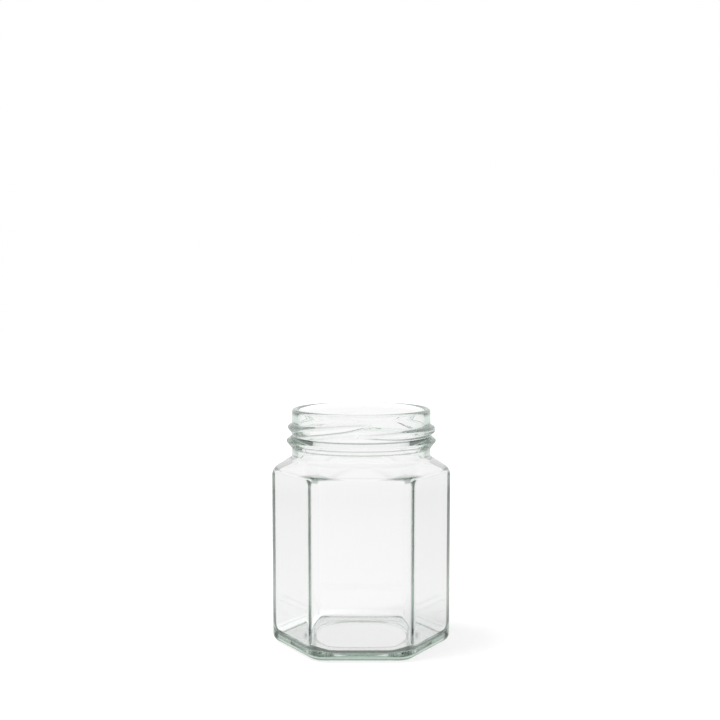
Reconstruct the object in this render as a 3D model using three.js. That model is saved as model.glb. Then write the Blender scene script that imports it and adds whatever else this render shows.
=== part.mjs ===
// A hexagonal glass jar: six flat panels with rounded corners, a sloping shoulder, and a round
// neck with a finger bead, two thread ribs and a rounded rim. It stands empty and open, and it
// is one piece of clear pressed glass with a faint green tint. Millimetres, +Z up, with the
// origin in the middle of the underside. One panel faces -Y, and two corners lie on the X axis.

import * as THREE from 'three';
import { mergeVertices } from 'three/addons/utils/BufferGeometryUtils.js';

// Whole jar
const JAR_HEIGHT = 89.7;
const ACROSS_FLATS = 61.3;
const ACROSS_CORNERS = 68.4;
const WALL = 2.1;
const CORNER_WALL = 2.0;
const BODY_TAPER = 0.25; // how much the foot of the body is drawn in, on each side

// Shoulder: round bends outside, nearly sharp ones inside
const NECK_RADIUS = 26.5;
const SHOULDER_TOP = 71.4;
const PANEL_TOP = 66.6;
const CORNER_TOP = 66.6;
const PANEL_BEND = 3.0;
const CORNER_BEND = 4.5;
const INNER_BEND = 0.6;
const NECK_FILLET = 1.6;

// Neck, with its finger bead and its rim
const MOUTH_RADIUS = 24.2;
const INNER_NECK_FILLET = 3.5;
const BEAD_RADIUS = 28.55;
const BEAD_FOOT = 74.6;
const BEAD_LOW = 77.0;
const BEAD_HIGH = 77.8;
const BEAD_HEAD = 79.6;
const BEAD_EDGE_DROP = 0.4;
const BEAD_EDGE_INSET = 0.3;
const RIM_ROUNDING = 1.1;

// Thread ribs: level for most of their length, then climbing to a thin tail under the rim
const RIB_FIRST_START = -98; // degrees from +X, seen from above, anticlockwise
const RIB_CLIMB_FROM = 133; // degrees from the start of the rib
const RIB_CLIMB_RATE = 0.058; // millimetres for each degree
const RIB_TAIL_PROUD = 0.8;
const RIB_HALF_WIDTH = 2.2;
const RIB_TAIL_HALF_WIDTH = 1.5;
const RIB_LEAD_IN = 48; // degrees over which the rib rises out of the neck
const RIB_LEAD_OUT = 26; // degrees over which the tail sinks back
const RIB_START_WIDTH = 0.25; // share of the full width at either end
// Length of each rib in degrees, level of its middle, how far it stands out, and its crest: how far
// that lies above the middle and how wide it is, both as shares of the half width
const RIBS = [
  { length: 168, level: 81.75, proud: 1.75, crestLift: 0, crestWidth: 0.3 },
  { length: 198, level: 82.2, proud: 1.55, crestLift: 0.3, crestWidth: 0.08 },
];

// Base: a rounded heel, a bearing ring, and under the floor a hollow that is nearly round
const HEEL_ROUNDING = 2.8;
const HOLLOW_PANEL = 19.6; // reach of the hollow towards a panel
const HOLLOW_CORNER = 20.6; // and towards a corner
const HOLLOW_SLOPE = 1.4;
const HOLLOW_DEPTH = 0.7;
const FLOOR_HEIGHT = 2.55;
const FLOOR_ROUNDING = 3.0;
const FLOOR_CORNER_ROUNDING = 4.5;

// Steps of the mesh
const CORNER_ARC_DEGREES = 13.8; // the part of each sixth that the rounded corner takes up
const CORNER_STEPS = 6;
const PANEL_STEPS = 7;
const BEND_STEPS = 4;
const RIM_STEPS = 3;
const SHOULDER_ROWS = 9;
const PANEL_ROW_SHARES = [0.35, 0.68]; // where the rows up the panels lie, as shares of their height
const INNER_ROW_SHARE = 0.55; // and the one row inside
const RIB_ROW_STEP = 0.6;
const MERGE_GAP = 1e-4;
const ARC_STEPS = 24; // arc steps of the outlines that the rows are read from

const GLASS = { color: 0xd5e2dc, roughness: 0.03, metalness: 0, transparent: true, opacity: 0.45 };

const DEGREE = Math.PI / 180;
const SIXTH = 60 * DEGREE;
const STEPS_AROUND = 6 * (CORNER_STEPS + PANEL_STEPS);

const flat = ACROSS_FLATS / 2;
const corner = ACROSS_CORNERS / 2;

// An outline through [radius, height, rounding] corners, with each rounding as an arc.
function roundedOutline(corners, steps) {
  const points = [];
  corners.forEach(([radius, height, rounding], i) => {
    const here = new THREE.Vector2(radius, height);
    if (!rounding) {
      points.push(here);
      return;
    }
    const before = new THREE.Vector2(...corners[i - 1].slice(0, 2)).sub(here).normalize();
    const after = new THREE.Vector2(...corners[i + 1].slice(0, 2)).sub(here).normalize();
    const half = Math.acos(before.dot(after)) / 2;
    const reach = rounding / Math.tan(half);
    const centre = before.clone().add(after).normalize().multiplyScalar(rounding / Math.sin(half));
    centre.add(here);
    const from = before.multiplyScalar(reach).add(here).sub(centre);
    const to = after.multiplyScalar(reach).add(here).sub(centre);
    const turn = Math.atan2(from.cross(to), from.dot(to));
    for (let k = 0; k <= steps; k += 1) {
      points.push(from.clone().rotateAround(new THREE.Vector2(), (turn * k) / steps).add(centre));
    }
  });
  return points;
}

// The radius of an outline at a height, for an outline that only climbs.
function radiusAt(outline, height) {
  const i = outline.findIndex((point) => point.y >= height);
  if (i <= 0) return i < 0 ? outline[outline.length - 1].x : outline[0].x;
  const low = outline[i - 1];
  const high = outline[i];
  return THREE.MathUtils.mapLinear(height, low.y, high.y, low.x, high.x);
}

// The outside and the inside, each as one outline up a panel and one up a corner.
function sideOutline(reach, top, bend, neck, neckTop, neckFillet) {
  return roundedOutline(
    [
      [reach - BODY_TAPER, 0],
      [reach, top, bend],
      [neck, neckTop, neckFillet],
      [neck, JAR_HEIGHT],
    ],
    ARC_STEPS,
  );
}

// How far the inner outline's bend lies under the outer one, for a wall of even thickness.
function innerTop(top, reach) {
  const turn = Math.atan2(reach - NECK_RADIUS, SHOULDER_TOP - top);
  return top - WALL * Math.tan(turn / 2);
}

const outerPanel = sideOutline(flat, PANEL_TOP, PANEL_BEND, NECK_RADIUS, SHOULDER_TOP, NECK_FILLET);
const outerCorner = sideOutline(corner, CORNER_TOP, CORNER_BEND, NECK_RADIUS, SHOULDER_TOP, NECK_FILLET);
const innerShoulderTop = SHOULDER_TOP - WALL / 2;
const innerPanel = sideOutline(
  flat - WALL,
  innerTop(PANEL_TOP, flat),
  INNER_BEND,
  MOUTH_RADIUS,
  innerShoulderTop,
  INNER_NECK_FILLET,
);
const innerCorner = sideOutline(
  corner - CORNER_WALL,
  innerTop(CORNER_TOP, corner),
  INNER_BEND,
  MOUTH_RADIUS,
  innerShoulderTop,
  INNER_NECK_FILLET,
);

// The mesh is a stack of rings, each with a height and its distances at a panel and at a corner.
const rings = [];

function addRing(height, panelReach, cornerReach, ribbed = false) {
  rings.push({ height, panelReach, cornerReach, ribbed });
}

function addRound(height, radius, ribbed = false) {
  addRing(height, radius, radius, ribbed);
}

// Underside, from the middle of the hollow out to the bearing ring
addRound(HOLLOW_DEPTH, 0);
addRing(HOLLOW_DEPTH, HOLLOW_PANEL - HOLLOW_SLOPE, HOLLOW_CORNER - HOLLOW_SLOPE);
addRing(0, HOLLOW_PANEL, HOLLOW_CORNER);

// Heel
for (let k = 0; k <= BEND_STEPS; k += 1) {
  const lift = ((Math.PI / 2) * k) / BEND_STEPS;
  const inset = HEEL_ROUNDING * (1 - Math.sin(lift));
  const height = HEEL_ROUNDING * (1 - Math.cos(lift));
  addRing(height, radiusAt(outerPanel, height) - inset, radiusAt(outerCorner, height) - inset);
}

// Heights of the rings between two heights, evenly spaced
function between(low, high, count) {
  return Array.from({ length: count }, (_, k) => low + ((high - low) * (k + 1)) / count);
}

// Panels and shoulder
const bendFoot = CORNER_TOP - CORNER_BEND / 2;
const panelRows = [...PANEL_ROW_SHARES.map((share) => share * CORNER_TOP), bendFoot];
const shoulderRows = between(bendFoot, SHOULDER_TOP + NECK_FILLET / 2, SHOULDER_ROWS);
for (const height of [...panelRows, ...shoulderRows]) {
  addRing(height, radiusAt(outerPanel, height), radiusAt(outerCorner, height));
}

// Finger bead
addRound(BEAD_FOOT, NECK_RADIUS);
addRound(BEAD_LOW - BEAD_EDGE_DROP, BEAD_RADIUS - BEAD_EDGE_INSET);
addRound(BEAD_LOW, BEAD_RADIUS);
addRound(BEAD_HIGH, BEAD_RADIUS);
addRound(BEAD_HIGH + BEAD_EDGE_DROP, BEAD_RADIUS - BEAD_EDGE_INSET);
addRound(BEAD_HEAD, NECK_RADIUS, true);

// Ribbed stretch of the neck
const ribEnds = RIBS.map((rib) => rib.level + RIB_CLIMB_RATE * (rib.length - RIB_CLIMB_FROM));
const ribTop = Math.max(...ribEnds) + RIB_TAIL_HALF_WIDTH;
const ribRows = Math.ceil((ribTop - BEAD_HEAD) / RIB_ROW_STEP);
for (const height of between(BEAD_HEAD, ribTop, ribRows)) {
  addRound(height, NECK_RADIUS, true);
}

// Rim, rounded on both sides
const rimFoot = JAR_HEIGHT - RIM_ROUNDING;
for (let k = 0; k <= RIM_STEPS; k += 1) {
  const lift = ((Math.PI / 2) * k) / RIM_STEPS;
  addRound(rimFoot + RIM_ROUNDING * Math.sin(lift), NECK_RADIUS - RIM_ROUNDING * (1 - Math.cos(lift)));
}
for (let k = RIM_STEPS; k >= 0; k -= 1) {
  const lift = ((Math.PI / 2) * k) / RIM_STEPS;
  addRound(rimFoot + RIM_ROUNDING * Math.sin(lift), MOUTH_RADIUS + RIM_ROUNDING * (1 - Math.cos(lift)));
}

// Inside, down the neck, the shoulder and the panels
const innerBendFoot = innerTop(CORNER_TOP, corner) - CORNER_BEND / 2;
const innerBendHead = innerShoulderTop + INNER_NECK_FILLET / 2;
const innerBendRows = between(innerBendFoot, innerBendHead, SHOULDER_ROWS).reverse();
for (const height of [...innerBendRows, innerBendFoot, INNER_ROW_SHARE * CORNER_TOP]) {
  addRing(height, radiusAt(innerPanel, height), radiusAt(innerCorner, height));
}

// How far the rounding at the foot of the inner wall stands in at a height
function floorInset(height, rounding) {
  const down = Math.max(0, FLOOR_HEIGHT + rounding - height);
  return rounding - Math.sqrt(Math.max(0, rounding * rounding - down * down));
}

// Inner foot of the walls, and the floor
for (let k = BEND_STEPS; k >= 0; k -= 1) {
  const lift = ((Math.PI / 2) * k) / BEND_STEPS;
  const height = FLOOR_HEIGHT + FLOOR_CORNER_ROUNDING * (1 - Math.cos(lift));
  const panelReach = radiusAt(innerPanel, height) - floorInset(height, FLOOR_ROUNDING);
  const cornerReach = radiusAt(innerCorner, height) - floorInset(height, FLOOR_CORNER_ROUNDING);
  addRing(height, panelReach, cornerReach);
}
addRound(FLOOR_HEIGHT, 0);

// Distance from the axis to a hexagon with round corners, which is a circle where both agree.
function hexagonRadius(angle, panelReach, cornerReach) {
  const half = SIXTH / 2;
  const stretch = 1 / Math.cos(half);
  const rounding = (panelReach * stretch - cornerReach) / (stretch - 1);
  const arcCentre = (panelReach - rounding) * stretch;
  const fromCorner = Math.abs(angle - SIXTH * Math.round(angle / SIXTH));
  const arcEnd = half - Math.atan2(arcCentre * Math.sin(half), panelReach);
  if (fromCorner >= arcEnd) return panelReach / Math.cos(half - fromCorner);
  const across = arcCentre * Math.sin(fromCorner);
  return arcCentre * Math.cos(fromCorner) + Math.sqrt(rounding * rounding - across * across);
}

// How far the thread ribs stand out of the neck at an angle and a height.
function ribProud(angle, height) {
  const prouds = RIBS.map((rib, index) => {
    const start = RIB_FIRST_START + (360 / RIBS.length) * index;
    const along = THREE.MathUtils.euclideanModulo(angle / DEGREE - start, 360);
    if (along >= rib.length) return 0;
    const climb = Math.max(0, along - RIB_CLIMB_FROM);
    const tail = climb / (rib.length - RIB_CLIMB_FROM);
    const ease = THREE.MathUtils.smoothstep(along, 0, RIB_LEAD_IN)
      * THREE.MathUtils.smoothstep(rib.length - along, 0, RIB_LEAD_OUT);
    const fullWidth = THREE.MathUtils.lerp(RIB_HALF_WIDTH, RIB_TAIL_HALF_WIDTH, tail);
    const halfWidth = fullWidth * THREE.MathUtils.lerp(RIB_START_WIDTH, 1, ease);
    const crest = THREE.MathUtils.lerp(rib.proud, RIB_TAIL_PROUD, tail) * ease;
    const fromCrest = (height - rib.level - climb * RIB_CLIMB_RATE) / halfWidth - rib.crestLift;
    const off = Math.abs(fromCrest) / (1 - Math.sign(fromCrest) * rib.crestLift);
    return crest * (1 - THREE.MathUtils.smoothstep(off, rib.crestWidth, 1));
  });
  return Math.max(...prouds);
}

// The angle of each step around: small steps over the corners, wider ones over the panels.
function stepAngle(step) {
  const perSixth = CORNER_STEPS + PANEL_STEPS;
  const sixth = Math.floor(step / perSixth);
  const part = step - sixth * perSixth;
  const arc = CORNER_ARC_DEGREES;
  const onCorner = -arc / 2 + (arc * part) / CORNER_STEPS;
  const onPanel = arc / 2 + ((SIXTH / DEGREE - arc) * (part - CORNER_STEPS)) / PANEL_STEPS;
  return sixth * SIXTH + (part <= CORNER_STEPS ? onCorner : onPanel) * DEGREE;
}

// A turned form, whose rings are then given their own angles and their own outline.
function jarGeometry() {
  const profile = rings.map((ring) => new THREE.Vector2(ring.cornerReach, ring.height));
  const turned = new THREE.LatheGeometry(profile, STEPS_AROUND);
  const place = turned.getAttribute('position');
  for (let i = 0; i < place.count; i += 1) {
    const ring = rings[i % rings.length];
    const angle = stepAngle(Math.floor(i / rings.length) % STEPS_AROUND);
    let radius = 0;
    if (ring.cornerReach > 0) {
      radius = hexagonRadius(angle, ring.panelReach, ring.cornerReach);
      if (ring.ribbed) radius += ribProud(angle, ring.height);
    }
    place.setXYZ(i, radius * Math.cos(angle), radius * Math.sin(angle), ring.height);
  }
  turned.deleteAttribute('normal');
  turned.deleteAttribute('uv');
  return withoutSlivers(mergeVertices(turned, MERGE_GAP));
}

// The turned form has flat triangles of no area on its axis, which go.
function withoutSlivers(geometry) {
  const index = Array.from(geometry.getIndex().array);
  const kept = [];
  for (let i = 0; i < index.length; i += 3) {
    const [a, b, c] = index.slice(i, i + 3);
    if (a !== b && b !== c && c !== a) kept.push(a, b, c);
  }
  geometry.setIndex(kept);
  geometry.computeVertexNormals();
  return geometry;
}

const jar = new THREE.Mesh(jarGeometry(), new THREE.MeshStandardMaterial(GLASS));
jar.name = 'glass_jar';

const group = new THREE.Group();
group.add(jar);

export default group;
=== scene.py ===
import math

import bmesh
import bpy
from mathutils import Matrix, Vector, noise


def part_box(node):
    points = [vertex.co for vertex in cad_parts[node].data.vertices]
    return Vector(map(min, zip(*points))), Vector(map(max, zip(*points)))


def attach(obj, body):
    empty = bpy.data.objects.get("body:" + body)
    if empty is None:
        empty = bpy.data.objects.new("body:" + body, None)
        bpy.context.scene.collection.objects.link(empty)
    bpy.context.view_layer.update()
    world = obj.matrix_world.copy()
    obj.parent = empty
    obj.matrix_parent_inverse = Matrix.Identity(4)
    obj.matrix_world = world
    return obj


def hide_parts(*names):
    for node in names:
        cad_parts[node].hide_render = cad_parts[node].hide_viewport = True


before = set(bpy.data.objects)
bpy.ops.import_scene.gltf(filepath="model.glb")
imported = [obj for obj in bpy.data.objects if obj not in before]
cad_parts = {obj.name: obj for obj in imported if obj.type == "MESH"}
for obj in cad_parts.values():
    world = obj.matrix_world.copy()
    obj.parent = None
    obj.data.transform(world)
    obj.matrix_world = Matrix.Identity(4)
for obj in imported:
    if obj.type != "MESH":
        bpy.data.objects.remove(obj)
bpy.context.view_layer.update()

MM = 0.001


# The jar
# One piece of clear soda-lime glass, pressed and blown in a mould: six flat panels with round
# corners, a sloping shoulder, and a round neck with a finger bead, two thread ribs and a rim that
# is fire polished. The glass is faintly green, which shows only where it is thick.

high = Vector(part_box("glass_jar")[1])
JAR_HEIGHT = high.z
PANEL = high.y
CORNER = high.x
WALL = 2.1 * MM
BODY_TAPER = 0.25 * MM

NECK_RADIUS = 26.5 * MM
SHOULDER_TOP = 71.4 * MM
PANEL_TOP = 66.6 * MM
CORNER_TOP = 66.6 * MM
PANEL_BEND = 3.0 * MM
CORNER_BEND = 4.5 * MM
INNER_PANEL_BEND = 0.6 * MM
INNER_CORNER_BEND = 0.6 * MM
CORNER_WALL = 2.0 * MM
NECK_FILLET = 1.6 * MM

MOUTH_RADIUS = 24.2 * MM
INNER_NECK_FILLET = 3.5 * MM
BEAD_RADIUS = 28.55 * MM
BEAD_FOOT = 74.6 * MM
BEAD_LOW = 77.25 * MM
BEAD_HIGH = 77.75 * MM
BEAD_HEAD = 79.6 * MM
BEAD_ROUNDING = 0.55 * MM
BEAD_FILLET = 0.5 * MM
BEAD_ROW_STEP = 0.15 * MM
BEAD_ARC_STEPS = 5
NECK_BELOW_BEAD = 1.2 * MM
NECK_ABOVE_BEAD = 0.4 * MM
RIM_ROUNDING = 1.1 * MM

RIB_FIRST_START = -98
RIB_CLIMB_FROM = 133
RIB_CLIMB_RATE = 0.058 * MM
RIB_TAIL_PROUD = 0.8 * MM
RIB_HALF_WIDTH = 2.2 * MM
RIB_TAIL_HALF_WIDTH = 1.5 * MM
RIB_LEAD_IN = 48
RIB_LEAD_OUT = 26
RIB_START_WIDTH = 0.25
RIB_ROWS = 44
# Length in degrees, level of the middle, how far the rib stands out, and the crest's lift above the
# middle and its width, both as shares of the half width
RIBS = (
    (168, 81.75 * MM, 1.75 * MM, 0, 0.3),
    (198, 82.2 * MM, 1.55 * MM, 0.3, 0.08),
)

HEEL_ROUNDING = 2.8 * MM
HOLLOW_PANEL = 19.6 * MM
HOLLOW_CORNER = 20.6 * MM
HOLLOW_SLOPE = 1.4 * MM
HOLLOW_DEPTH = 0.7 * MM
HOLLOW_CEILING_ROUNDING = 0.8 * MM
HOLLOW_EDGE_ROUNDING = 0.5 * MM
HOLLOW_ARC_STEPS = 6
FLOOR_HEIGHT = 2.55 * MM
FLOOR_ROUNDING = 3.0 * MM
FLOOR_CORNER_ROUNDING = 4.5 * MM

# Painted shade at the folds where the light breaks: level, width and strength of each dark line around the
# jar, then the painted dark wedges at the top corners of the panels, the flares at the feet of the corners
# and the edge of the hollow
SHADED_FOLDS = (
    (79.3 * MM, 0.24 * MM, 1.0),
    (76.45 * MM, 0.22 * MM, 0.85),
    (74.9 * MM, 0.24 * MM, 0.9),
    (2.9 * MM, 0.4 * MM, 0.6),
    (1.0 * MM, 0.4 * MM, 0.6),
)
# Painted dark lines along each rib's two outlines: place as a share of the half width, and strength
SHADED_RIB_FOLDS = ((-0.75, 1.0), (0.6, 0.4))
RIB_FOLD_WIDTH = 0.22 * MM
RIB_FOLD_EASE = 0.4
KNOT_HEIGHT = 1.8 * MM
KNOT_REACH = 10.5 * MM
KNOT_EDGE = 0.35 * MM
KNOT_CORE = 0.4 * MM
KNOT_CORE_EASE = 0.7
KNOT_PALE = 0.35
KNOT_DROP = 1.8 * MM
KNOT_WIDTH = 2.0 * MM
KNOT_TAIL = 0.8
FLARE_TOP = 13 * MM
FLARE_FOOT = 4 * MM
FLARE_FOOT_EASE = 1 * MM
FLARE_WIDTH = 1.3 * MM
FLARE_EDGE = 0.2 * MM
FLARE_CURVE = 1.5
FLARE_SHADE = 0.5
HOLLOW_EDGE_SHADE = 0.8
HOLLOW_FOLD_WIDTH = 0.5 * MM
HOLLOW_FOLD_TOP = 0.35 * MM

CORNER_ARC = 13.8
CORNER_STEPS = 16
PANEL_STEPS = 26
SIXTH = math.radians(60)
STEPS_AROUND = 6 * (CORNER_STEPS + PANEL_STEPS)


def rounded_outline(corners, steps=24):
    """Points through (radius, height, rounding) corners, with each rounding as an arc."""
    points = []
    for i, (radius, height, rounding) in enumerate(corners):
        here = Vector((radius, height))
        if not rounding:
            points.append(here)
            continue
        before = (Vector(corners[i - 1][:2]) - here).normalized()
        after = (Vector(corners[i + 1][:2]) - here).normalized()
        half = before.angle(after) / 2
        centre = here + (before + after).normalized() * rounding / math.sin(half)
        start = here + before * rounding / math.tan(half) - centre
        end = here + after * rounding / math.tan(half) - centre
        turn = math.atan2(start.x * end.y - start.y * end.x, start.dot(end))
        for k in range(steps + 1):
            cos, sin = math.cos(turn * k / steps), math.sin(turn * k / steps)
            points.append(centre + Vector((start.x * cos - start.y * sin, start.x * sin + start.y * cos)))
    return points


def radius_at(outline, height):
    """The radius of an outline that only climbs, at a height."""
    for before, after in zip(outline, outline[1:]):
        if height <= after.y:
            share = max(0.0, (height - before.y) / (after.y - before.y))
            return before.x + (after.x - before.x) * share
    return outline[-1].x


def side_outline(reach, top, bend, neck, neck_top, neck_fillet):
    return rounded_outline(
        [(reach - BODY_TAPER, 0, 0), (reach, top, bend), (neck, neck_top, neck_fillet), (neck, JAR_HEIGHT, 0)]
    )


def inner_top(top, reach):
    """The height of the inner bend, for a wall of even thickness."""
    return top - WALL * math.tan(math.atan2(reach - NECK_RADIUS, SHOULDER_TOP - top) / 2)


outer_panel = side_outline(PANEL, PANEL_TOP, PANEL_BEND, NECK_RADIUS, SHOULDER_TOP, NECK_FILLET)
outer_corner = side_outline(CORNER, CORNER_TOP, CORNER_BEND, NECK_RADIUS, SHOULDER_TOP, NECK_FILLET)
inner_shoulder_top = SHOULDER_TOP - WALL / 2
inner_panel = side_outline(
    PANEL - WALL,
    inner_top(PANEL_TOP, PANEL),
    INNER_PANEL_BEND,
    MOUTH_RADIUS,
    inner_shoulder_top,
    INNER_NECK_FILLET,
)
inner_corner = side_outline(
    CORNER - CORNER_WALL,
    inner_top(CORNER_TOP, CORNER),
    INNER_CORNER_BEND,
    MOUTH_RADIUS,
    inner_shoulder_top,
    INNER_NECK_FILLET,
)

rings = []


def add_ring(height, panel_reach, corner_reach, side="outer"):
    rings.append((height, panel_reach, corner_reach, side))


def add_round(height, radius, side="outer"):
    add_ring(height, radius, radius, side)


def between(start, end, count):
    return [start + (end - start) * (k + 1) / count for k in range(count)]


# Underside
hollow_line = rounded_outline(
    [
        (-HOLLOW_SLOPE * 2, HOLLOW_DEPTH, 0),
        (-HOLLOW_SLOPE, HOLLOW_DEPTH, HOLLOW_CEILING_ROUNDING),
        (0, 0, HOLLOW_EDGE_ROUNDING),
        (HOLLOW_SLOPE, 0, 0),
    ],
    HOLLOW_ARC_STEPS,
)
for share in (0, 0.25, 0.5, 0.75):
    add_ring(HOLLOW_DEPTH, HOLLOW_PANEL * share, HOLLOW_CORNER * share, "under")
for offset, height in hollow_line:
    add_ring(height, HOLLOW_PANEL + offset, HOLLOW_CORNER + offset, "under")

# Heel
HEEL_STEPS = 14
for k in range(HEEL_STEPS + 1):
    lift = math.pi / 2 * k / HEEL_STEPS
    inset = HEEL_ROUNDING * (1 - math.sin(lift))
    height = HEEL_ROUNDING * (1 - math.cos(lift))
    add_ring(height, radius_at(outer_panel, height) - inset, radius_at(outer_corner, height) - inset)

# Panels and shoulder
FOOT_ROWS = 20
PANEL_ROWS = 14
SHOULDER_ROWS = 44
shoulder_foot = CORNER_TOP - CORNER_BEND / 2 - 1 * MM
shoulder_head = SHOULDER_TOP + 1.2 * MM
for height in (
    between(HEEL_ROUNDING, FLARE_TOP, FOOT_ROWS)
    + between(FLARE_TOP, shoulder_foot, PANEL_ROWS)
    + between(shoulder_foot, shoulder_head, SHOULDER_ROWS)
):
    add_ring(height, radius_at(outer_panel, height), radius_at(outer_corner, height))

# Finger bead
bead_line = rounded_outline(
    [
        (NECK_RADIUS, BEAD_FOOT - NECK_BELOW_BEAD, 0),
        (NECK_RADIUS, BEAD_FOOT, BEAD_FILLET),
        (BEAD_RADIUS, BEAD_LOW, BEAD_ROUNDING),
        (BEAD_RADIUS, BEAD_HIGH, BEAD_ROUNDING),
        (NECK_RADIUS, BEAD_HEAD, BEAD_FILLET),
        (NECK_RADIUS, BEAD_HEAD + NECK_ABOVE_BEAD, 0),
    ],
    BEAD_ARC_STEPS,
)
add_round(bead_line[0].y, bead_line[0].x)
for before, after in zip(bead_line, bead_line[1:]):
    pieces = max(1, round((after - before).length / BEAD_ROW_STEP))
    for k in range(pieces):
        point = before.lerp(after, (k + 1) / pieces)
        add_round(point.y, point.x)

# Ribbed stretch of the neck
rib_top = max(rib[1] + RIB_CLIMB_RATE * (rib[0] - RIB_CLIMB_FROM) for rib in RIBS) + RIB_TAIL_HALF_WIDTH
for height in between(BEAD_HEAD + NECK_ABOVE_BEAD, rib_top, RIB_ROWS):
    add_round(height, NECK_RADIUS)

# Rim
RIM_STEPS = 8
rim_foot = JAR_HEIGHT - RIM_ROUNDING
for k in range(RIM_STEPS + 1):
    lift = math.pi / 2 * k / RIM_STEPS
    inset = RIM_ROUNDING * (1 - math.cos(lift))
    add_round(rim_foot + RIM_ROUNDING * math.sin(lift), NECK_RADIUS - inset)
for k in range(RIM_STEPS, -1, -1):
    lift = math.pi / 2 * k / RIM_STEPS
    inset = RIM_ROUNDING * (1 - math.cos(lift))
    add_round(rim_foot + RIM_ROUNDING * math.sin(lift), MOUTH_RADIUS + inset, "inner")

# Inside
INNER_NECK_ROWS = 10
INNER_SHOULDER_ROWS = 36
INNER_PANEL_ROWS = 18
inner_bend_foot = inner_top(CORNER_TOP, CORNER) - CORNER_BEND / 2
inner_bend_head = inner_shoulder_top + INNER_NECK_FILLET / 2
for height in (
    between(rim_foot, inner_bend_head, INNER_NECK_ROWS)
    + between(inner_bend_head, inner_bend_foot, INNER_SHOULDER_ROWS)
    + between(inner_bend_foot, FLOOR_HEIGHT + FLOOR_CORNER_ROUNDING, INNER_PANEL_ROWS)[:-1]
):
    add_ring(height, radius_at(inner_panel, height), radius_at(inner_corner, height), "inner")

# Floor
FLOOR_STEPS = 28


def floor_inset(height, rounding):
    """How far the rounding at the foot of the inner wall stands in at a height."""
    down = max(0.0, FLOOR_HEIGHT + rounding - height)
    return rounding - math.sqrt(max(0.0, rounding**2 - down**2))


for k in range(FLOOR_STEPS, -1, -1):
    height = FLOOR_HEIGHT + FLOOR_CORNER_ROUNDING * (1 - math.cos(math.pi / 2 * k / FLOOR_STEPS))
    panel_reach = radius_at(inner_panel, height) - floor_inset(height, FLOOR_ROUNDING)
    corner_reach = radius_at(inner_corner, height) - floor_inset(height, FLOOR_CORNER_ROUNDING)
    add_ring(height, panel_reach, corner_reach, "inner")
for share in (0.8, 0.6, 0.4, 0.2, 0):
    add_ring(FLOOR_HEIGHT, rings[-1][1] * share, rings[-1][2] * share, "inner")


def hexagon_radius(angle, panel_reach, corner_reach):
    """Distance from the axis to a hexagon with round corners, a circle where both reaches agree."""
    half = SIXTH / 2
    stretch = 1 / math.cos(half)
    rounding = (panel_reach * stretch - corner_reach) / (stretch - 1)
    arc_centre = (panel_reach - rounding) * stretch
    from_corner = abs(angle - SIXTH * round(angle / SIXTH))
    if from_corner >= half - math.atan2(arc_centre * math.sin(half), panel_reach):
        return panel_reach / math.cos(half - from_corner)
    across = arc_centre * math.sin(from_corner)
    return arc_centre * math.cos(from_corner) + math.sqrt(rounding**2 - across**2)


def smoothstep(value, start, end):
    share = min(1.0, max(0.0, (value - start) / (end - start)))
    return share * share * (3 - 2 * share)


def mix(a, b, share):
    return a + (b - a) * share


def rib_at(angle, height):
    """How far the thread ribs stand out of the neck, and how strong the painted shade is along their two
    outlines.
    """
    proud = 0.0
    painted_fold_shade = 0.0
    for number, (length, middle, rib_crest, crest_lift, crest_width) in enumerate(RIBS):
        along = (math.degrees(angle) - RIB_FIRST_START - 360 / len(RIBS) * number) % 360
        if along >= length:
            continue
        climb = max(0.0, along - RIB_CLIMB_FROM)
        tail = climb / (length - RIB_CLIMB_FROM)
        ease = smoothstep(along, 0, RIB_LEAD_IN) * smoothstep(length - along, 0, RIB_LEAD_OUT)
        half_width = mix(RIB_HALF_WIDTH, RIB_TAIL_HALF_WIDTH, tail) * mix(RIB_START_WIDTH, 1, ease)
        crest = mix(rib_crest, RIB_TAIL_PROUD, tail) * ease
        from_crest = (height - middle - climb * RIB_CLIMB_RATE) / half_width - crest_lift
        off = abs(from_crest) / (1 - math.copysign(crest_lift, from_crest))
        proud = max(proud, crest * (1 - smoothstep(off, crest_width, 1)))
        for place, strength in SHADED_RIB_FOLDS:
            to_fold = (height - middle - climb * RIB_CLIMB_RATE - place * half_width) / RIB_FOLD_WIDTH
            painted_fold_shade = max(painted_fold_shade, strength * math.exp(-to_fold * to_fold) * smoothstep(ease, 0, RIB_FOLD_EASE))
    return proud, painted_fold_shade


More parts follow.
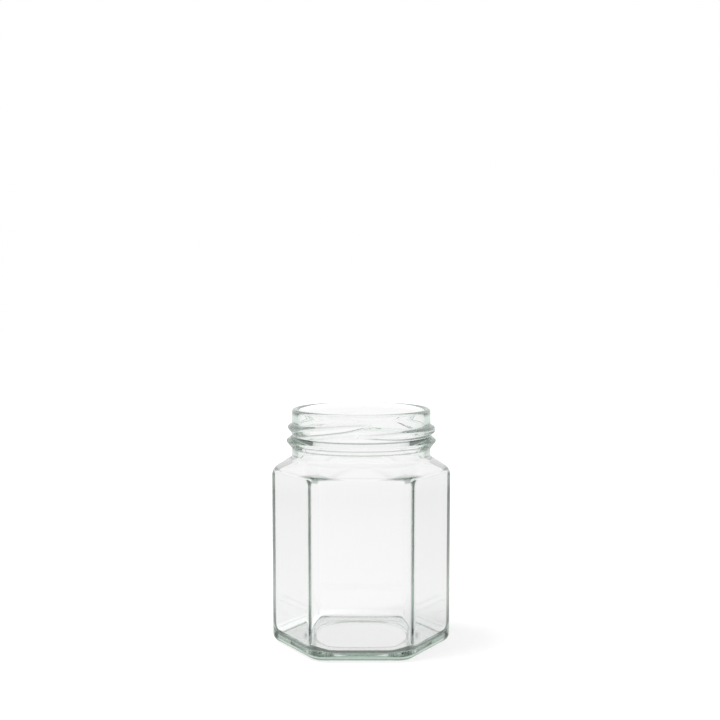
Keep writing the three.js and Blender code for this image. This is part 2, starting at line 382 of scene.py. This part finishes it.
def painted_fold_shade_at(angle, height):
    """How dark the painted shade is in the folds of the jar's outside, where the light breaks."""
    painted_fold_shade = 0.0
    for level, width, strength in SHADED_FOLDS:
        to_fold = (height - level) / width
        painted_fold_shade = max(painted_fold_shade, strength * math.exp(-to_fold * to_fold))
    from_corner = abs(angle - SIXTH * round(angle / SIXTH)) * CORNER
    wedge = max(0.0, 1 - from_corner / KNOT_REACH)
    if wedge > 0 and PANEL_TOP - KNOT_EDGE < height < PANEL_TOP + 2 * KNOT_HEIGHT:
        top = PANEL_TOP + KNOT_HEIGHT * wedge
        share = 1 - smoothstep(height, top - KNOT_EDGE, top + KNOT_EDGE)
        share *= smoothstep(height, PANEL_TOP - KNOT_EDGE, PANEL_TOP)
        to_core = (height - PANEL_TOP - KNOT_CORE) / KNOT_CORE
        core = math.exp(-to_core * to_core) * smoothstep(wedge, 0, KNOT_CORE_EASE)
        painted_fold_shade = max(painted_fold_shade, share * mix(KNOT_PALE, 1, core))
    if abs(height - PANEL_TOP) < KNOT_DROP:
        share = 1 - smoothstep(from_corner, KNOT_WIDTH / 2, KNOT_WIDTH)
        share *= smoothstep(height, PANEL_TOP - KNOT_DROP, PANEL_TOP - KNOT_DROP / 2)
        share *= 1 - smoothstep(height, PANEL_TOP, PANEL_TOP + KNOT_DROP / 2)
        painted_fold_shade = max(painted_fold_shade, KNOT_TAIL * share)
    if FLARE_FOOT - FLARE_FOOT_EASE < height < FLARE_TOP:
        reach = FLARE_WIDTH * min(1.0, (FLARE_TOP - height) / (FLARE_TOP - FLARE_FOOT)) ** FLARE_CURVE
        share = 1 - smoothstep(from_corner, reach / 2, reach + FLARE_EDGE)
        painted_fold_shade = max(painted_fold_shade, FLARE_SHADE * share * smoothstep(height, FLARE_FOOT - FLARE_FOOT_EASE, FLARE_FOOT))
    return painted_fold_shade


def step_angle(step):
    """Small steps over the corners, wider ones over the panels."""
    sixth, part = divmod(step, CORNER_STEPS + PANEL_STEPS)
    if part <= CORNER_STEPS:
        degrees = -CORNER_ARC / 2 + CORNER_ARC * part / CORNER_STEPS
    else:
        degrees = CORNER_ARC / 2 + (60 - CORNER_ARC) * (part - CORNER_STEPS) / PANEL_STEPS
    return sixth * SIXTH + math.radians(degrees)


MERGE_DISTANCE = 1e-7
WAVE_SIZE = 14 * MM
WAVE_FOOT = 8 * MM
INNER_WAVE = 0.05 * MM
OUTER_WAVE = 0.015 * MM


def build_jar():
    bm = bmesh.new()
    ring_number = bm.verts.layers.int.new("ring")
    painted_fold_shade_layer = bm.verts.layers.float.new("painted_fold_shade")
    line = []
    for number, (height, panel_reach, corner_reach, side) in enumerate(rings):
        vert = bm.verts.new((corner_reach, 0, height))
        vert[ring_number] = number
        line.append(vert)
    edges = [bm.edges.new(pair) for pair in zip(line, line[1:])]
    bmesh.ops.spin(
        bm,
        geom=line + edges,
        angle=math.tau,
        steps=STEPS_AROUND,
        axis=(0, 0, 1),
        cent=(0, 0, 0),
        use_merge=True,
    )
    bmesh.ops.remove_doubles(bm, verts=bm.verts, dist=MERGE_DISTANCE)
    for vert in bm.verts:
        height, panel_reach, corner_reach, side = rings[vert[ring_number]]
        if corner_reach == 0:
            continue
        step = round(math.atan2(vert.co.y, vert.co.x) / math.tau * STEPS_AROUND) % STEPS_AROUND
        angle = step_angle(step)
        radius = hexagon_radius(angle, panel_reach, corner_reach)
        # Painted shade: a dark line round the edge of the hollow
        if side == "under":
            to_fold = (panel_reach - HOLLOW_PANEL) / HOLLOW_FOLD_WIDTH
            vert[painted_fold_shade_layer] = HOLLOW_EDGE_SHADE * math.exp(-to_fold * to_fold)
        # Painted shade in the folds of the outside and along the outlines of the ribs
        if side == "outer":
            vert[painted_fold_shade_layer] = painted_fold_shade_at(angle, height)
            if height > BEAD_HEAD:
                proud, painted_fold_shade = rib_at(angle, height)
                radius += proud
                vert[painted_fold_shade_layer] = max(painted_fold_shade, vert[painted_fold_shade_layer])
        place = Vector((math.cos(angle), math.sin(angle), 0)) * radius
        place.z = height
        if side != "under" and height < SHOULDER_TOP:
            depth = INNER_WAVE if side == "inner" else OUTER_WAVE
            inward = (0.5 + 0.5 * noise.noise(place / WAVE_SIZE)) * depth * smoothstep(height, 0, WAVE_FOOT)
            place.x -= math.cos(angle) * inward
            place.y -= math.sin(angle) * inward
        vert.co = place
    bmesh.ops.recalc_face_normals(bm, faces=bm.faces)
    for face in bm.faces:
        face.smooth = True
    mesh = bpy.data.meshes.new("glass_jar_visual")
    bm.to_mesh(mesh)
    bm.free()
    jar = bpy.data.objects.new("glass_jar_visual", mesh)
    bpy.context.collection.objects.link(jar)
    return jar


GLASS_INDEX = 1.52
GLASS_TINT = (0.50, 0.80, 0.62)
GLASS_DENSITY = 10.0
# Colour of the painted shade in the folds
PAINTED_FOLD_SHADE_TINT = (0.12, 0.17, 0.14)
RIPPLE_SCALE = 260.0
RIPPLE_DEPTH = 0.02 * MM
RIPPLE_STRENGTH = 0.35
STIPPLE_SCALE = 1600.0
STIPPLE_DEPTH = 0.05 * MM
STIPPLE_TOP = 0.25 * MM
STIPPLE_STRENGTH = 0.8
HAZE = 0.02
HAZE_SPAN = (0.45, 0.75)


def feed(links, socket, value):
    """Links an output to a socket, or sets the socket's value."""
    if isinstance(value, bpy.types.NodeSocket):
        links.new(value, socket)
    else:
        socket.default_value = value


def math_node(nodes, links, operation, first, second):
    node = nodes.new("ShaderNodeMath")
    node.operation = operation
    feed(links, node.inputs[0], first)
    feed(links, node.inputs[1], second)
    return node.outputs["Value"]


def colour_mix(nodes, links, factor, first, second):
    node = nodes.new("ShaderNodeMix")
    node.data_type = "RGBA"
    links.new(factor, node.inputs["Factor"])
    feed(links, node.inputs[6], first)
    feed(links, node.inputs[7], second)
    return node.outputs[2]


def value_range(nodes, links, value, span, start, end, interpolation="LINEAR"):
    node = nodes.new("ShaderNodeMapRange")
    node.interpolation_type = interpolation
    node.inputs["From Min"].default_value, node.inputs["From Max"].default_value = span
    node.inputs["To Min"].default_value = start
    node.inputs["To Max"].default_value = end
    links.new(value, node.inputs["Value"])
    return node.outputs["Result"]


def clear_glass():
    material = bpy.data.materials.new("clear_glass")
    material.use_nodes = True
    nodes = material.node_tree.nodes
    links = material.node_tree.links
    shader = nodes["Principled BSDF"]
    output = nodes["Material Output"]
    where = nodes.new("ShaderNodeTexCoord")
    split = nodes.new("ShaderNodeSeparateXYZ")
    links.new(where.outputs["Object"], split.inputs["Vector"])
    # Painted shade: the fold lines darken the base colour on the outside of the near wall, and the dark line
    # at the edge of the hollow shows through the glass
    painted_fold_shade = nodes.new("ShaderNodeAttribute")
    painted_fold_shade.attribute_name = "painted_fold_shade"
    path = nodes.new("ShaderNodeLightPath")
    first = math_node(nodes, links, "LESS_THAN", path.outputs["Transmission Depth"], 0.5)
    at_foot = math_node(nodes, links, "LESS_THAN", split.outputs["Z"], HOLLOW_FOLD_TOP)
    shown = math_node(nodes, links, "MAXIMUM", first, at_foot)
    painted_shade_seen = math_node(nodes, links, "MULTIPLY", painted_fold_shade.outputs["Fac"], shown)
    tint = colour_mix(nodes, links, painted_shade_seen, (1, 1, 1, 1), (*PAINTED_FOLD_SHADE_TINT, 1))
    links.new(tint, shader.inputs["Base Color"])
    ripple = nodes.new("ShaderNodeTexNoise")
    ripple.inputs["Scale"].default_value = RIPPLE_SCALE
    ripple.inputs["Detail"].default_value = 2.0
    links.new(where.outputs["Object"], ripple.inputs["Vector"])
    ripples = nodes.new("ShaderNodeBump")
    ripples.inputs["Strength"].default_value = RIPPLE_STRENGTH
    ripples.inputs["Distance"].default_value = RIPPLE_DEPTH
    links.new(ripple.outputs["Fac"], ripples.inputs["Height"])
    stipple = nodes.new("ShaderNodeTexVoronoi")
    stipple.inputs["Scale"].default_value = STIPPLE_SCALE
    links.new(where.outputs["Object"], stipple.inputs["Vector"])
    underside = value_range(nodes, links, split.outputs["Z"], (0.0, STIPPLE_TOP), STIPPLE_STRENGTH, 0.0)
    stipples = nodes.new("ShaderNodeBump")
    stipples.inputs["Distance"].default_value = STIPPLE_DEPTH
    links.new(underside, stipples.inputs["Strength"])
    links.new(stipple.outputs["Distance"], stipples.inputs["Height"])
    links.new(ripples.outputs["Normal"], stipples.inputs["Normal"])
    links.new(stipples.outputs["Normal"], shader.inputs["Normal"])
    haze = value_range(nodes, links, ripple.outputs["Fac"], HAZE_SPAN, 0.0, HAZE)
    links.new(haze, shader.inputs["Roughness"])
    shader.inputs["IOR"].default_value = GLASS_INDEX
    shader.inputs["Transmission Weight"].default_value = 1.0
    absorb = nodes.new("ShaderNodeVolumeAbsorption")
    absorb.inputs["Color"].default_value = (*GLASS_TINT, 1)
    absorb.inputs["Density"].default_value = GLASS_DENSITY
    links.new(absorb.outputs["Volume"], output.inputs["Volume"])
    return material


jar = build_jar()
jar.data.materials.append(clear_glass())
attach(jar, "root")
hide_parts("glass_jar")


# The floor
# A wide pale sheet that the jar stands on. Most of its brightness is painted glow from its own emission, not
# lamp light:
# the glow is painted dimmer near the jar and dimmer where it is seen through the glass, lifted right beneath
# the jar, and under the jar's foot a painted contact shadow darkens it. What the edges of the glass mirror of
# it is painted to grow dark away from the jar, as a sheet does that is lit only around the jar.

FLOOR_SIZE = 3.0
FLOOR_GAP = 0.2 * MM
GLOW_NEAR = 0.80
GLOW_FAR = 1.0
GLOW_SPAN = (150 * MM, 700 * MM)
THROUGH_UNDER = 0.735
THROUGH_NEAR = 0.565
THROUGH_FAR = 0.70
UNDER_SPAN = (34 * MM, 44 * MM)
THROUGH_SPAN = (300 * MM, 600 * MM)
ONE_WALL = 0.76
THROUGH_TINT = (1.0, 0.986, 0.993)
FLOOR_GREY = 0.25
FLOOR_ROUGHNESS = 0.9
FLOOR_MIRRORED = 0.92
EDGE_SPAN = 1.0
# Millimetres from the jar's axis, and the glow there
EDGE_GLOW = (
    (0, 0.17),
    (34, 0.19),
    (55, 0.22),
    (80, 0.42),
    (95, 0.46),
    (183, 0.25),
    (295, 0.20),
    (360, 0.14),
    (400, 0.30),
    (460, 0.34),
    (520, 0.55),
    (620, 0.52),
    (740, 0.72),
    (850, 0.75),
)
UNDER_JAR = 45 * MM
EDGE_TINT = (0.88, 1.0, 0.93)


def float_mix(nodes, links, factor, first, second):
    node = nodes.new("ShaderNodeMix")
    links.new(factor, node.inputs["Factor"])
    feed(links, node.inputs[2], first)
    feed(links, node.inputs[3], second)
    return node.outputs[0]


def light_kinds(nodes, links, path):
    """Whether light was mirrored on its way, entered the glass, and stayed in the nearest wall."""
    mirrored = math_node(nodes, links, "MINIMUM", path.outputs["Glossy Depth"], 1)
    entered = math_node(nodes, links, "GREATER_THAN", path.outputs["Transmission Depth"], 0.5)
    one_wall = math_node(nodes, links, "LESS_THAN", path.outputs["Transmission Depth"], 2.5)
    in_wall = math_node(nodes, links, "MULTIPLY", entered, one_wall)
    edge = math_node(nodes, links, "MULTIPLY", mirrored, in_wall)
    return mirrored, entered, in_wall, edge


def painted_glow_sheet():
    material = bpy.data.materials.new("painted_glow_sheet")
    material.use_nodes = True
    nodes = material.node_tree.nodes
    links = material.node_tree.links
    shader = nodes["Principled BSDF"]
    shader.inputs["Roughness"].default_value = FLOOR_ROUGHNESS
    shader.inputs["Specular IOR Level"].default_value = 0.0
    mirrored, entered, in_wall, edge = light_kinds(nodes, links, nodes.new("ShaderNodeLightPath"))
    where = nodes.new("ShaderNodeTexCoord")
    distance = nodes.new("ShaderNodeVectorMath")
    distance.operation = "LENGTH"
    links.new(where.outputs["Object"], distance.inputs[0])
    # Painted glow that the glass edges mirror, with painted shade under the jar, changing with distance
    painted_glow_ramp = nodes.new("ShaderNodeValToRGB")
    stops = painted_glow_ramp.color_ramp.elements
    while len(stops) < len(EDGE_GLOW):
        stops.new(1.0)
    for stop, (millimetres, glow) in zip(stops, EDGE_GLOW):
        stop.position = millimetres * MM / EDGE_SPAN
        stop.color = (glow * EDGE_TINT[0], glow * EDGE_TINT[1], glow * EDGE_TINT[2], 1)
    links.new(distance.outputs["Value"], painted_glow_ramp.inputs["Fac"])
    out = distance.outputs["Value"]
    # Painted glow: the bare sheet dimmer near the jar, dimmer through the glass, and lifted right beneath the
    # jar
    bare = value_range(nodes, links, out, GLOW_SPAN, GLOW_NEAR, GLOW_FAR, "SMOOTHSTEP")
    through = value_range(nodes, links, out, THROUGH_SPAN, THROUGH_NEAR, THROUGH_FAR, "SMOOTHSTEP")
    painted_glow_beneath = value_range(nodes, links, out, UNDER_SPAN, 1.0, 0.0, "SMOOTHSTEP")
    through = float_mix(nodes, links, painted_glow_beneath, through, THROUGH_UNDER)
    glow = float_mix(nodes, links, entered, bare, through)
    glow = float_mix(nodes, links, in_wall, glow, ONE_WALL)
    glow = float_mix(nodes, links, mirrored, glow, FLOOR_MIRRORED)
    white = nodes.new("ShaderNodeCombineColor")
    for name, tint in zip(("Red", "Green", "Blue"), THROUGH_TINT):
        share = float_mix(nodes, links, entered, 1.0, tint)
        links.new(math_node(nodes, links, "MULTIPLY", glow, share), white.inputs[name])
    # Painted contact shadow: under the jar's foot, light that stayed in one wall sees the dark ramp
    under = math_node(nodes, links, "LESS_THAN", out, UNDER_JAR)
    under = math_node(nodes, links, "MULTIPLY", under, in_wall)
    painted_shade_mask = math_node(nodes, links, "MAXIMUM", edge, under)
    shine = colour_mix(nodes, links, painted_shade_mask, white.outputs["Color"], painted_glow_ramp.outputs["Color"])
    links.new(shine, shader.inputs["Emission Color"])
    shader.inputs["Emission Strength"].default_value = 1.0
    # Painted shade: the sheet's colour is black for light mirrored in the glass and under the jar's foot, so
    # the lamp adds nothing there
    unlit = math_node(nodes, links, "MAXIMUM", mirrored, under)
    grey = float_mix(nodes, links, unlit, FLOOR_GREY, 0.0)
    colour = nodes.new("ShaderNodeCombineColor")
    for name in ("Red", "Green", "Blue"):
        links.new(grey, colour.inputs[name])
    links.new(colour.outputs["Color"], shader.inputs["Base Color"])
    return material


floor_mesh = bmesh.new()
bmesh.ops.create_grid(floor_mesh, x_segments=1, y_segments=1, size=FLOOR_SIZE)
bmesh.ops.translate(floor_mesh, verts=floor_mesh.verts, vec=(0, 0, -FLOOR_GAP))
floor_data = bpy.data.meshes.new("floor")
floor_mesh.to_mesh(floor_data)
floor_mesh.free()
floor = bpy.data.objects.new("floor", floor_data)
bpy.context.collection.objects.link(floor)
floor_data.materials.append(painted_glow_sheet())


# The light
# A bright even surround that is white near the level of the jar and dimmer overhead, and a broad
# soft lamp on the left, which gives the jar its faint shadow on the sheet.

SURROUND_OVERHEAD = 0.3
SURROUND_LEVELS = (0.46, 0.78)
SURROUND_EDGE = 0.6
LAMP_PLACE = (-0.45, -0.05, 0.85)
LAMP_SIZE = 0.7
LAMP_POWER = 14.0

world = bpy.data.worlds.new("surround")
bpy.context.scene.world = world
world.use_nodes = True
nodes = world.node_tree.nodes
links = world.node_tree.links
background = nodes["Background"]
where = nodes.new("ShaderNodeTexCoord")
split = nodes.new("ShaderNodeSeparateXYZ")
links.new(where.outputs["Generated"], split.inputs["Vector"])
level = value_range(nodes, links, split.outputs["Z"], SURROUND_LEVELS, 1.0, SURROUND_OVERHEAD, "SMOOTHSTEP")
path = nodes.new("ShaderNodeLightPath")
_, entered, _, edge = light_kinds(nodes, links, path)
glow = float_mix(nodes, links, edge, level, SURROUND_EDGE)
glow = float_mix(nodes, links, path.outputs["Is Camera Ray"], glow, 1.0)
links.new(glow, background.inputs["Strength"])
tinted = colour_mix(nodes, links, entered, (1, 1, 1, 1), (*THROUGH_TINT, 1))
links.new(tinted, background.inputs["Color"])
world.cycles.sampling_method = "NONE"

lamp_data = bpy.data.lights.new("lamp", "AREA")
lamp_data.shape = "DISK"
lamp_data.size = LAMP_SIZE
lamp_data.energy = LAMP_POWER
lamp = bpy.data.objects.new("lamp", lamp_data)
bpy.context.collection.objects.link(lamp)
lamp.location = LAMP_PLACE
lamp.rotation_euler = (-Vector(LAMP_PLACE)).to_track_quat("-Z", "Y").to_euler()
lamp.visible_glossy = False
lamp.visible_transmission = False


# The camera
# At the photograph's angle: 486 mm in front of the jar's axis, looking slightly down.

CAMERA_DISTANCE = 486 * MM
CAMERA_HEIGHT = 137.5 * MM
CAMERA_SIDE = -0.46 * MM
CAMERA_PITCH = 3.46
CAMERA_LENS = 63.85
SENSOR_WIDTH = 36
CLIP_START = 10 * MM
GLASS_BOUNCES = 32

camera_data = bpy.data.cameras.new("camera")
camera_data.lens = CAMERA_LENS
camera_data.sensor_width = SENSOR_WIDTH
camera_data.clip_start = CLIP_START
camera = bpy.data.objects.new("camera", camera_data)
bpy.context.collection.objects.link(camera)
camera.location = (CAMERA_SIDE, -CAMERA_DISTANCE, CAMERA_HEIGHT)
camera.rotation_euler = (math.radians(90 - CAMERA_PITCH), 0, 0)
scene = bpy.context.scene
scene.camera = camera
scene.view_settings.view_transform = "Standard"
scene.cycles.max_bounces = GLASS_BOUNCES
scene.cycles.transmission_bounces = GLASS_BOUNCES
scene.cycles.glossy_bounces = GLASS_BOUNCES
